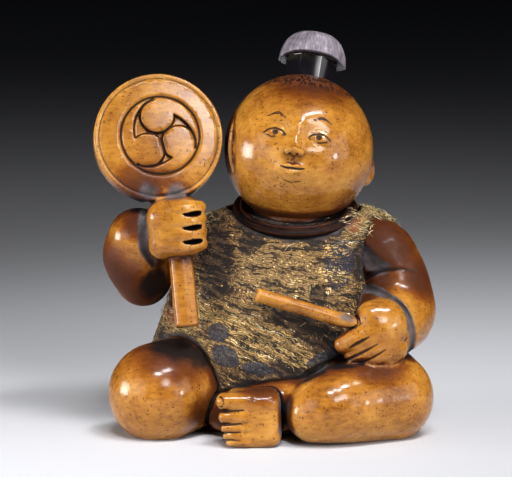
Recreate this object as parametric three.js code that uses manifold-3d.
// A seated boy with a round fan-drum and a drumstick: a netsuke carved from one block of boxwood,
// dressed in a thin brocade garment, with a topknot of dark horn set into the crown.
// Millimetres, +Z up. The figure faces -Y, and the origin is the middle of its flat underside.

import * as THREE from 'three';
import Module from 'manifold-3d';
import { LoftGeometry } from 'three/addons/geometries/LoftGeometry.js';
import { RoundedBoxGeometry } from 'three/addons/geometries/RoundedBoxGeometry.js';
import { mergeVertices } from 'three/addons/utils/BufferGeometryUtils.js';

const wasm = await Module();
wasm.setup();

// Driving dimensions

const SHIFT_X = 0.6;          // brings the middle of the figure's width over the origin
const GAP = 0.3;              // clear space between the wood and the pieces set on it
const CLOTH = 0.5;            // thickness of the garment
const BODY_INSET = 0.95;      // the wood under the garment, inset so that sloping shoulders keep the gap
const HEM_HEIGHT = 1.6;       // lowest edge of the garment above the underside
const REACH = 60;             // larger than the whole figure, for cutting blocks

// The head is a ball that leans to its own left, tips back and turns a little away
const HEAD = {
  at: [2.85, 0.5, 28.1],
  radii: [7.5, 7.4, 7.6],
  lean: 9,
  tipBack: 20,
  turn: -5,
};

// Level sections of the clothed body: height, middle in X and Y, half width, half depth
const TORSO = [
  [0.0, 0.8, 2.7, 12.2, 9.4],
  [3.0, 0.9, 2.3, 13.3, 10.2],
  [7.0, 0.9, 1.9, 13.4, 10.5],
  [10.5, 0.9, 1.6, 12.4, 10.1],
  [14.0, 1.1, 1.4, 11.2, 9.4],
  [17.2, 1.7, 1.4, 10.9, 8.3],
  [19.7, 2.4, 1.5, 11.1, 7.0],
  [21.3, 2.6, 1.5, 9.5, 5.8],
  [22.4, 2.6, 1.5, 7.0, 4.4],
];
const TORSO_PEAR = 0.14;      // how much each level section narrows towards the belly

// Limbs are round-ended and fat. Each station is X, Y, Z of the middle, then the radius
const RIGHT_UPPER_ARM = [
  [-8.0, 3.0, 18.6, 2.7],
  [-11.3, 2.2, 17.9, 3.1],
  [-12.9, 0.5, 15.5, 3.0],
];
const RIGHT_FOREARM = [
  [-12.9, 0.0, 14.9, 2.7],
  [-13.65, -1.0, 17.4, 3.25],
  [-13.3, -2.3, 19.5, 3.0],
];
const LEFT_UPPER_ARM = [
  [8.6, 1.6, 18.8, 2.2],
  [11.1, -0.6, 18.0, 3.1],
  [12.4, -1.6, 16.3, 3.0],
];
const LEFT_FOREARM = [
  [12.9, -1.6, 13.4, 3.5],
  [12.8, -3.0, 12.0, 3.75],
  [12.2, -5.0, 11.2, 3.2],
];
const RIGHT_THIGH = [
  [-6.2, 3.4, 5.6, 4.6],
  [-8.0, -1.6, 4.9, 4.8],
  [-11.2, -5.4, 4.3, 5.05],
];
const RIGHT_SHIN = [
  [-4.4, -5.2, 2.6, 2.3],
  [-2.4, -6.4, 2.6, 2.6],
  [1.0, -6.8, 3.5, 2.8],
  [4.6, -6.0, 3.8, 2.6],
];
const LEFT_SHIN = [
  [4.35, -9.9, 3.2, 3.0],
  [6.6, -9.2, 3.85, 3.85],
  [11.6, -5.8, 3.95, 4.45],
];
const LEFT_THIGH = [
  [11.8, -5.2, 3.9, 4.35],
  [11.3, -0.8, 4.2, 4.2],
  [8.6, 3.2, 4.6, 4.3],
];
const NECK = [
  [2.4, 1.1, 18.6, 4.4],
  [2.5, 0.8, 23.0, 4.4],
];

// A rolled collar lies round the neck, lower in front
const COLLAR = { at: [2.5, 0.9, 22.1], radius: 6.0, thickness: 0.6, dip: 17 };

// The right fist holds the drum upright, the left hand holds the stick over the knee
const FIST = { at: [-9.4, -4.75, 20.95], size: [5.6, 4.9, 5.7], rounding: 1.7, turn: -7 };
const FIST_SLOTS = { x: -6.5, y: -6.7, heights: [22.45, 21.15, 19.75], radii: [2.0, 1.3, 0.33], slant: -3 };
const RIGHT_WRIST = [[-13.0, -2.6, 19.9, 2.3], [-10.2, -4.2, 20.7, 2.3]];
const PALM = { at: [11.0, -7.2, 11.4], radii: [2.65, 2.3, 2.75] };
const LEFT_FINGERS = [
  [[10.4, -8.0, 11.0, 1.65], [8.4, -8.6, 10.2, 1.3], [6.7, -8.5, 9.4, 0.95]],
  [[11.2, -8.2, 9.9, 1.3], [9.5, -8.8, 9.2, 1.0], [8.0, -8.6, 8.5, 0.7]],
  [[11.9, -7.9, 9.2, 1.2], [10.5, -8.5, 8.5, 0.9], [9.3, -8.3, 8.0, 0.6]],
  [[12.5, -7.4, 8.9, 1.0], [11.6, -8.0, 8.2, 0.8], [10.9, -7.9, 7.9, 0.6]],
];
const STICK = { from: [-0.95, -9.45, 14.75], to: [9.0, -8.9, 11.6], radius: 0.67 };

// The drum: a thick disc with a round rim, on a handle with bevelled edges
const DRUM = {
  at: [-11.3, -1.6, 29.35],
  facing: [0.1, -0.95, 0.28],
  up: [-0.155, 0.264, 0.952],
  radius: 6.45,
  halfThickness: 1.5,
  rimRadius: 0.55,
  grooveRadius: 5.95,
  grooveDepth: 0.3,
};
const HANDLE = {
  from: [-8.3, -6.8, 11.2],
  to: [-9.6, -3.3, 24.4],
  halfWidth: 1.22,
  halfDepth: 1.0,
  bevel: 0.35,
};

// Three commas chasing each other in a ring, carved in the drum's face. Shares are of the ring's radius
const CREST = {
  at: [0.18, 0.14],
  radius: 3.92,
  line: 0.32,               // width of the ring's groove
  depth: 0.35,
  headShare: 0.4,
  headAway: 0.5,
  tail: 135,                // degrees that a tail reaches along the ring
  tailInner: 0.47,          // where a tail's inner edge starts
  tailRise: 0.48,           // how far that edge moves out along the tail
  tailCurve: 1.35,          // above 1 the tail stays wide for longer
  tailOuter: 0.93,
  firstAngle: 92,
  count: 3,
};

// The left foot lies in the middle with its toes to the right leg
const FOOT = { at: [-2.05, -9.9, 2.7], size: [6.9, 4.6, 5.6], rounding: 1.3, turn: -2 };
const TOE_SLOTS = { x: -5.4, y: -12.0, heights: [3.72, 2.5, 1.6], radii: [3.1, 1.3, 0.19], slant: -3 };

// Face, ears and the topknot's seat, in the head's own frame: -Y is the face, +Z the crown
const FACE = {
  cheek: { towards: [0.55, -0.72, -0.42], rise: 0.35, spread: 30 },
  nose: { at: [0, -7.2, -1.9], radii: [0.75, 0.7, 0.8] },
  nostril: { at: [0.62, -7.0, -2.2], radii: [0.45, 0.5, 0.42] },
  eye: { at: [2.35, -6.95, -0.2], radii: [0.95, 0.7, 0.2], slant: 4 },
  brow: { at: [2.5, -6.95, 1.6], radii: [1.25, 0.4, 0.12], slant: 6 },
  mouth: { at: [0, -7.1, -3.4], radii: [1.1, 0.6, 0.2], slant: 0 },
  chinFold: { at: [0, -5.9, -4.9], radii: [1.5, 0.5, 0.14], slant: 0 },
};
const EAR = { at: [7.1, 1.5, -0.9], radii: [0.75, 1.1, 1.5], hollow: [0.55, 0.65, 1.0], hollowOut: 0.55 };
const TOPKNOT = {
  seat: 6.1,
  stemRadius: 2.8,
  stemTop: 9.45,
  capRadius: 3.4,
  capRim: 9.65,
  capShoulder: 10.2,
  capFlat: 0.9,
  capTop: 12.1,
  droop: 0.55,
  sides: 16,
};

// Two cord holes in the underside, joined by a tunnel that bends up inside the wood
const CORD_HOLES = { at: [1.0, 4.5], apart: 7.5, radius: 1.2 };

const TIP_WIDTH = 0.02;       // a comma's tail never closes to nothing

const COLOURS = { wood: 0xb06a28, brocade: 0x6b5a34, horn: 0x2b2426 };

// Shape helpers

const radians = THREE.MathUtils.degToRad;

function solid(geometry, matrix) {
  const plain = new THREE.BufferGeometry();
  plain.setAttribute('position', geometry.getAttribute('position').clone());
  plain.setIndex(geometry.index);
  if (matrix) plain.applyMatrix4(matrix);
  const merged = mergeVertices(plain);
  const corners = [];
  for (let i = 0; i < merged.index.count; i += 3) {
    const [a, b, c] = [0, 1, 2].map((k) => merged.index.getX(i + k));
    if (a !== b && b !== c && c !== a) corners.push(a, b, c);
  }
  return new wasm.Manifold(new wasm.Mesh({
    numProp: 3,
    vertProperties: new Float32Array(merged.attributes.position.array),
    triVerts: new Uint32Array(corners),
  }));
}

function geometryOf(body) {
  const mesh = body.getMesh();
  const geometry = new THREE.BufferGeometry();
  geometry.setAttribute('position', new THREE.Float32BufferAttribute(mesh.vertProperties, 3));
  geometry.setIndex(new THREE.Uint32BufferAttribute(mesh.triVerts, 1));
  geometry.computeVertexNormals();
  return geometry;
}

const join = (bodies) => bodies.reduce((whole, body) => whole.add(body));
const cut = (body, tools) => tools.reduce((rest, tool) => rest.subtract(tool), body);
const mirrored = (point, side) => [point[0] * side, point[1], point[2]];

function ellipsoid({ at, radii, slant = 0 }, grow = 0, sides = 18) {
  const matrix = new THREE.Matrix4()
    .makeTranslation(...at)
    .multiply(new THREE.Matrix4().makeRotationY(radians(slant)))
    .scale(new THREE.Vector3(...radii.map((radius) => radius + grow)));
  const ball = new THREE.SphereGeometry(1, sides, Math.max(6, Math.round(sides * 0.6)));
  return solid(ball, matrix);
}

// A block with all its edges rounded, turned about Y
function roundedBlock({ at, size, rounding, turn }, grow = 0) {
  const [width, depth, height] = size.map((side) => side + 2 * grow);
  const matrix = new THREE.Matrix4()
    .makeTranslation(...at)
    .multiply(new THREE.Matrix4().makeRotationY(radians(turn)));
  return solid(new RoundedBoxGeometry(width, depth, height, 2, rounding + grow), matrix);
}

// Lens-shaped slots, one at each height, for parting fingers or toes
function slots({ x, y, heights, radii, slant }) {
  return heights.map((z) => ellipsoid({ at: [x, y, z], radii, slant }, 0, 10));
}

// A limb: rings carried along a smooth curve, closed by a half ball at each end
function limb(stations, grow = 0, sides = 12, steps = 2, capAngles = [75, 40]) {
  const curve = new THREE.CatmullRomCurve3(stations.map(([x, y, z]) => new THREE.Vector3(x, y, z)));
  const count = steps * (stations.length - 1);
  const frames = curve.computeFrenetFrames(count);
  const ringAt = (index, along, shrink) => {
    const t = index / count;
    const place = t * (stations.length - 1);
    const low = Math.min(Math.floor(place), stations.length - 2);
    const ease = THREE.MathUtils.smoothstep(place - low, 0, 1);
    const radius = THREE.MathUtils.lerp(stations[low][3], stations[low + 1][3], ease) + grow;
    const middle = curve.getPoint(t).addScaledVector(frames.tangents[index], along * radius);
    return Array.from({ length: sides }, (_, k) => {
      const angle = (k / sides) * 2 * Math.PI;
      return middle.clone()
        .addScaledVector(frames.normals[index], shrink * radius * Math.cos(angle))
        .addScaledVector(frames.binormals[index], shrink * radius * Math.sin(angle));
    });
  };
  const caps = capAngles.map(radians);
  const sections = [
    ...caps.map((angle) => ringAt(0, -Math.sin(angle), Math.cos(angle))),
    ...Array.from({ length: count + 1 }, (_, index) => ringAt(index, 0, 1)),
    ...caps.reverse().map((angle) => ringAt(count, Math.sin(angle), Math.cos(angle))),
  ];
  return solid(new LoftGeometry(sections, { capStart: true, capEnd: true }));
}

// A finger, a toe or the stick: a limb with few faces
const slender = (stations, grow = 0) => limb(stations, grow, 6, 1, [50]);

// The body under the cloth or over it: level ovals stacked up, inset by the given amount
function torso(inset, bottom, sides = 18) {
  const layers = TORSO.map(([height, x, y, halfWidth, halfDepth], level) => {
    const top = level === TORSO.length - 1;
    const z = level === 0 ? bottom : height - (top ? inset : inset * 0.5);
    return Array.from({ length: sides }, (_, k) => {
      const angle = (k / sides) * 2 * Math.PI;
      const reach = (halfWidth - inset) * (1 + TORSO_PEAR * Math.sin(angle));
      return new THREE.Vector3(
        x + reach * Math.cos(angle),
        y + (halfDepth - inset) * Math.sin(angle),
        z,
      );
    });
  });
  return solid(new LoftGeometry(layers, { capStart: true, capEnd: true }));
}

// A solid of revolution about a line from one point towards another
function turned(profile, from, axis, segments) {
  const points = profile.map(([radius, along]) => new THREE.Vector2(radius, along));
  const spin = new THREE.Quaternion().setFromUnitVectors(
    new THREE.Vector3(0, 1, 0),
    new THREE.Vector3(...axis).normalize(),
  );
  const matrix = new THREE.Matrix4().makeRotationFromQuaternion(spin);
  matrix.setPosition(...from);
  return solid(new THREE.LatheGeometry(points, segments), matrix);
}

const arc = (count, from, to, at) =>
  Array.from({ length: count + 1 }, (_, k) => at(radians(from + ((to - from) * k) / count)));

function extruded(shape, depth, matrix) {
  const options = { depth, bevelEnabled: false, curveSegments: 14 };
  return solid(new THREE.ExtrudeGeometry(shape, options), matrix);
}

function blockBelow(height) {
  const box = new THREE.BoxGeometry(REACH, REACH, REACH);
  return solid(box, new THREE.Matrix4().makeTranslation(0, 0, height - REACH / 2));
}

// The head

const headMatrix = new THREE.Matrix4()
  .makeTranslation(...HEAD.at)
  .multiply(new THREE.Matrix4().makeRotationY(radians(HEAD.lean)))
  .multiply(new THREE.Matrix4().makeRotationX(radians(-HEAD.tipBack)))
  .multiply(new THREE.Matrix4().makeRotationZ(radians(HEAD.turn)));

const placeOnHead = (body) => body.transform(headMatrix.elements);

function bothSides(part, sides) {
  return [-1, 1].map((side) => {
    const slant = (part.slant ?? 0) * side;
    return ellipsoid({ at: mirrored(part.at, side), radii: part.radii, slant }, 0, sides);
  });
}

function ear(side) {
  const hollowAt = [EAR.at[0] + EAR.hollowOut, EAR.at[1] - EAR.hollowOut, EAR.at[2]];
  const shell = ellipsoid({ at: mirrored(EAR.at, side), radii: EAR.radii }, 0, 10);
  return shell.subtract(ellipsoid({ at: mirrored(hollowAt, side), radii: EAR.hollow }, 0, 8));
}

function topknotSeat() {
  const radius = TOPKNOT.stemRadius + GAP;
  const floor = TOPKNOT.seat - GAP;
  const profile = [[0, floor], [radius, floor], [radius, TOPKNOT.capTop], [0, TOPKNOT.capTop]];
  return turned(profile, [0, 0, 0], [0, 0, 1], TOPKNOT.sides);
}

// The ball of the head, raised over each cheek by a rise that fades with the angle from it
function headBall(sides) {
  const ball = new THREE.SphereGeometry(1, sides, Math.round(sides * 0.6));
  const place = ball.getAttribute('position');
  const towards = [-1, 1].map((side) => (
    new THREE.Vector3(...mirrored(FACE.cheek.towards, side)).normalize()
  ));
  const spread = radians(FACE.cheek.spread);
  for (let i = 0; i < place.count; i += 1) {
    const out = new THREE.Vector3().fromBufferAttribute(place, i).normalize();
    const lifts = towards.map((cheek) => Math.exp(-((out.angleTo(cheek) / spread) ** 2)));
    const lift = FACE.cheek.rise * Math.max(...lifts);
    const point = out.clone().multiply(new THREE.Vector3(...HEAD.radii)).addScaledVector(out, lift);
    place.setXYZ(i, point.x, point.y, point.z);
  }
  return solid(ball);
}

function head() {
  const raised = join([
    headBall(24),
    ellipsoid(FACE.nose, 0, 10),
    ...bothSides(FACE.nostril, 6),
    ear(-1),
    ear(1),
  ]);
  const carved = cut(raised, [
    ...bothSides(FACE.eye, 10),
    ...bothSides(FACE.brow, 8),
    ellipsoid(FACE.mouth, 0, 10),
    ellipsoid(FACE.chinFold, 0, 8),
    topknotSeat(),
  ]);
  return placeOnHead(carved);
}

function topknot() {
  const { seat, stemRadius, stemTop, capRadius, capRim, capShoulder, capFlat, capTop } = TOPKNOT;
  const { droop, sides } = TOPKNOT;
  const crown = arc(3, 0, 75, (angle) => [
    capFlat + (capRadius - capFlat) * Math.cos(angle),
    capShoulder + (capTop - capShoulder) * Math.sin(angle),
  ]);
  const profile = [
    [stemRadius, seat, 0],
    [stemRadius, stemTop, 0],
    [capRadius * 0.97, capRim, 1],
    ...crown.map(([radius, height]) => [radius, height, (capTop - height) / (capTop - capRim)]),
    [capFlat, capTop, 0],
  ];
  const rings = profile.map(([radius, height, hang]) => Array.from({ length: sides }, (_, k) => {
    const angle = (k / sides) * 2 * Math.PI;
    const [x, y] = [radius * Math.cos(angle), radius * Math.sin(angle)];
    return new THREE.Vector3(x, y, height - droop * hang * (x / capRadius) ** 2);
  }));
  return placeOnHead(solid(new LoftGeometry(rings, { capStart: true, capEnd: true })));
}

// The drum, its crest and its handle, in a frame whose Z is the drum's facing

function drumMatrix() {
  const facing = new THREE.Vector3(...DRUM.facing).normalize();
  const across = new THREE.Vector3(...DRUM.up).cross(facing).normalize();
  const up = new THREE.Vector3().crossVectors(facing, across);
  return new THREE.Matrix4().makeBasis(across, up, facing).setPosition(...DRUM.at);
}

function drumBody() {
  const { radius, halfThickness, rimRadius, grooveRadius, grooveDepth } = DRUM;
  const middle = radius - rimRadius;
  const side = halfThickness - rimRadius;
  const rim = [
    ...arc(2, -90, 0, (a) => [middle + rimRadius * Math.cos(a), -side + rimRadius * Math.sin(a)]),
    ...arc(2, 0, 90, (a) => [middle + rimRadius * Math.cos(a), side + rimRadius * Math.sin(a)]),
  ];
  const face = halfThickness - grooveDepth / 2;
  const profile = [
    [0, -halfThickness],
    ...rim,
    [grooveRadius, halfThickness - grooveDepth],
    [grooveRadius - grooveDepth, face],
    [0, face],
  ];
  const points = profile.map(([r, along]) => new THREE.Vector2(r, along));
  return solid(new THREE.LatheGeometry(points, 32), new THREE.Matrix4().makeRotationX(Math.PI / 2));
}

// A comma: a round head, and a tail between the ring and an inner edge that widens outwards
function comma(first) {
  const { radius, headShare, headAway, tail, tailInner, tailRise, tailCurve } = CREST;
  const inner = (share) => radius * (tailInner + tailRise * share ** tailCurve);
  const outer = radius * CREST.tailOuter;
  const polar = (distance, degrees) => {
    const angle = radians(first - degrees);
    return new THREE.Vector2(distance * Math.cos(angle), distance * Math.sin(angle));
  };
  const steps = 6;
  const edge = (at) => Array.from({ length: steps + 1 }, (_, k) => at(k / steps));
  const outside = edge((share) => polar(Math.max(outer, inner(share) + TIP_WIDTH), share * tail));
  const inside = edge((share) => polar(inner(share), share * tail)).reverse();
  const lobe = new THREE.Shape(arc(11, 0, 330, (angle) => polar(headAway * radius, 0)
    .add(new THREE.Vector2(Math.cos(angle), Math.sin(angle)).multiplyScalar(headShare * radius))));
  return [lobe, new THREE.Shape([...outside, ...inside])];
}

function crestGround() {
  const { at, radius, line, depth, firstAngle, count } = CREST;
  const face = DRUM.halfThickness - DRUM.grooveDepth / 2;
  const lift = new THREE.Matrix4().makeTranslation(...at, face - depth);
  const disc = new THREE.Shape().absarc(0, 0, radius + line / 2, 0, 2 * Math.PI);
  const commas = Array.from({ length: count }, (_, k) => comma(firstAngle + (k * 360) / count)).flat();
  const tall = new THREE.Matrix4().makeTranslation(...at, face - 2 * depth);
  return cut(extruded(disc, 3 * depth, lift), commas.map((shape) => extruded(shape, 6 * depth, tall)));
}

function drum() {
  const carved = drumBody().subtract(crestGround());
  return carved.transform(drumMatrix().elements);
}

function handle(grow = 0) {
  const from = new THREE.Vector3(...HANDLE.from);
  const to = new THREE.Vector3(...HANDLE.to);
  const length = from.distanceTo(to);
  const [w, d, bevel] = [HANDLE.halfWidth + grow, HANDLE.halfDepth + grow, HANDLE.bevel];
  const section = new THREE.Shape([
    [w - bevel, -d], [w, bevel - d], [w, d - bevel], [w - bevel, d],
    [bevel - w, d], [-w, d - bevel], [-w, bevel - d], [bevel - w, -d],
  ].map(([x, y]) => new THREE.Vector2(x, y)));
  const along = to.clone().sub(from).normalize();
  const facing = new THREE.Vector3(...DRUM.facing);
  const across = new THREE.Vector3().crossVectors(facing, along).normalize();
  const outward = new THREE.Vector3().crossVectors(along, across);
  const start = from.clone().addScaledVector(along, -grow);
  const matrix = new THREE.Matrix4().makeBasis(across, outward, along).setPosition(start);
  return extruded(section, length + grow, matrix);
}

// Hands, stick and foot

function fist() {
  const fingers = cut(roundedBlock(FIST), slots(FIST_SLOTS));
  return join([fingers, limb(RIGHT_WRIST, 0, 10, 1)]);
}

function leftHand() {
  return join([ellipsoid(PALM, 0, 14), ...LEFT_FINGERS.map((finger) => slender(finger))]);
}

function stick(grow = 0) {
  const { from, to, radius } = STICK;
  return slender([[...from, radius], [...to, radius]], grow);
}

function foot() {
  return cut(roundedBlock(FOOT), slots(TOE_SLOTS));
}

function cordTunnel() {
  const ring = new THREE.TorusGeometry(CORD_HOLES.apart / 2, CORD_HOLES.radius, 8, 12);
  const matrix = new THREE.Matrix4().makeTranslation(...CORD_HOLES.at, 0)
    .multiply(new THREE.Matrix4().makeRotationX(Math.PI / 2));
  return solid(ring, matrix);
}

// The three pieces

const aroundNeck = (profile) => {
  const dip = radians(COLLAR.dip);
  return turned(profile, COLLAR.at, [0, -Math.sin(dip), Math.cos(dip)], 20);
};

// The rolled edge of a disc that reaches in under the chin
function collar() {
  const { radius, thickness } = COLLAR;
  const roll = arc(4, -90, 90, (angle) => [
    radius + thickness * Math.cos(angle),
    thickness * Math.sin(angle),
  ]);
  return aroundNeck([[0, -thickness], ...roll, [0, thickness]]);
}

// Everything from the collar's plane upwards, for opening the garment at the neck
function neckOpening() {
  const radius = COLLAR.radius + COLLAR.thickness + GAP;
  const floor = -COLLAR.thickness - GAP;
  return aroundNeck([[0, floor], [radius, floor], [radius, radius], [0, radius]]);
}

const LIMBS = [
  RIGHT_UPPER_ARM, RIGHT_FOREARM, LEFT_UPPER_ARM, LEFT_FOREARM, RIGHT_THIGH, RIGHT_SHIN,
  LEFT_THIGH, LEFT_SHIN,
];

function boy() {
  const whole = join([
    torso(BODY_INSET, -1),
    head(),
    collar(),
    limb(NECK),
    ...LIMBS.map((stations) => limb(stations)),
    drum(),
    handle(),
    fist(),
    leftHand(),
    stick(),
    foot(),
  ]);
  return cut(whole, [blockBelow(0), cordTunnel()]);
}

function garment() {
  const shell = torso(0, 0).subtract(torso(CLOTH, -1));
  return cut(shell, [
    ...LIMBS.map((stations) => limb(stations, GAP)),
    limb(NECK, COLLAR.radius - NECK[0][3]),
    neckOpening(),
    roundedBlock(FIST, GAP),
    ellipsoid(PALM, GAP, 12),
    roundedBlock(FOOT, GAP),
    handle(GAP),
    stick(GAP),
    blockBelow(HEM_HEIGHT),
  ]);
}

function mesh(name, body, color, roughness) {
  const material = new THREE.MeshStandardMaterial({ color, roughness, metalness: 0 });
  const node = new THREE.Mesh(geometryOf(body), material);
  node.name = name;
  return node;
}

const netsuke = new THREE.Group();
netsuke.position.x = SHIFT_X;
netsuke.add(
  mesh('boy', boy(), COLOURS.wood, 0.35),
  mesh('garment', garment(), COLOURS.brocade, 0.8),
  mesh('topknot', topknot(), COLOURS.horn, 0.25),
);

export default netsuke;
